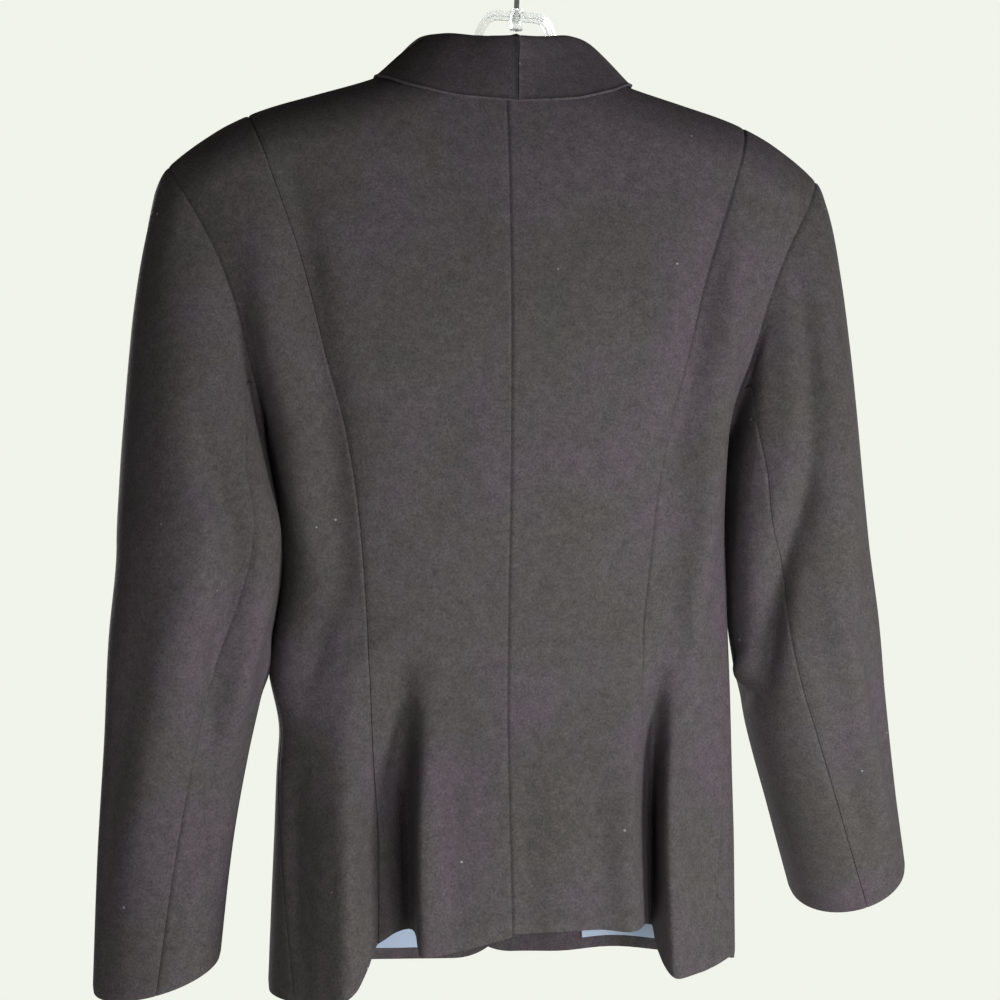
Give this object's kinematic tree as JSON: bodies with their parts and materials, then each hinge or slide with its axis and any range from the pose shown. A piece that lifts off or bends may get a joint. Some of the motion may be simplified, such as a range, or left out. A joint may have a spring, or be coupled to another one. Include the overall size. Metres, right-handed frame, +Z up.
{
  "type": "blazer on a hanger",
  "caption": "Fitted tailored blazer with princess seams, flared hem, shawl collar and long set-in sleeves, hanging empty on a clear plastic hanger with a wire hook.",
  "frame": {"origin": "the inside of the hook's crown, where it rests on the rail", "axes": "+Z up, the front of the blazer faces -Y, its back +Y, and +X is the wearer's left"},
  "size_m": [0.6063, 0.201, 0.7718],
  "materials": {
    "suiting": "matt charcoal wool suiting",
    "lining": "pale blue satin lining",
    "button": "black moulded",
    "hanger": "clear moulded",
    "hook": "plated wire"
  },
  "bodies": {
    "root": {"back_left": "suiting", "back_right": "suiting", "button_1": "button", "button_2": "button", "button_3": "button", "collar_left": "suiting", "collar_right": "suiting", "front_left": "suiting", "front_right": "suiting", "hanger_body": "hanger", "hanger_hook": "hook", "lining_left": "lining", "lining_right": "lining", "side_back_left": "suiting", "side_back_right": "suiting", "sleeve_top_left": "suiting", "sleeve_top_right": "suiting", "sleeve_under_left": "suiting", "sleeve_under_right": "suiting"}
  },
  "joints": []
}
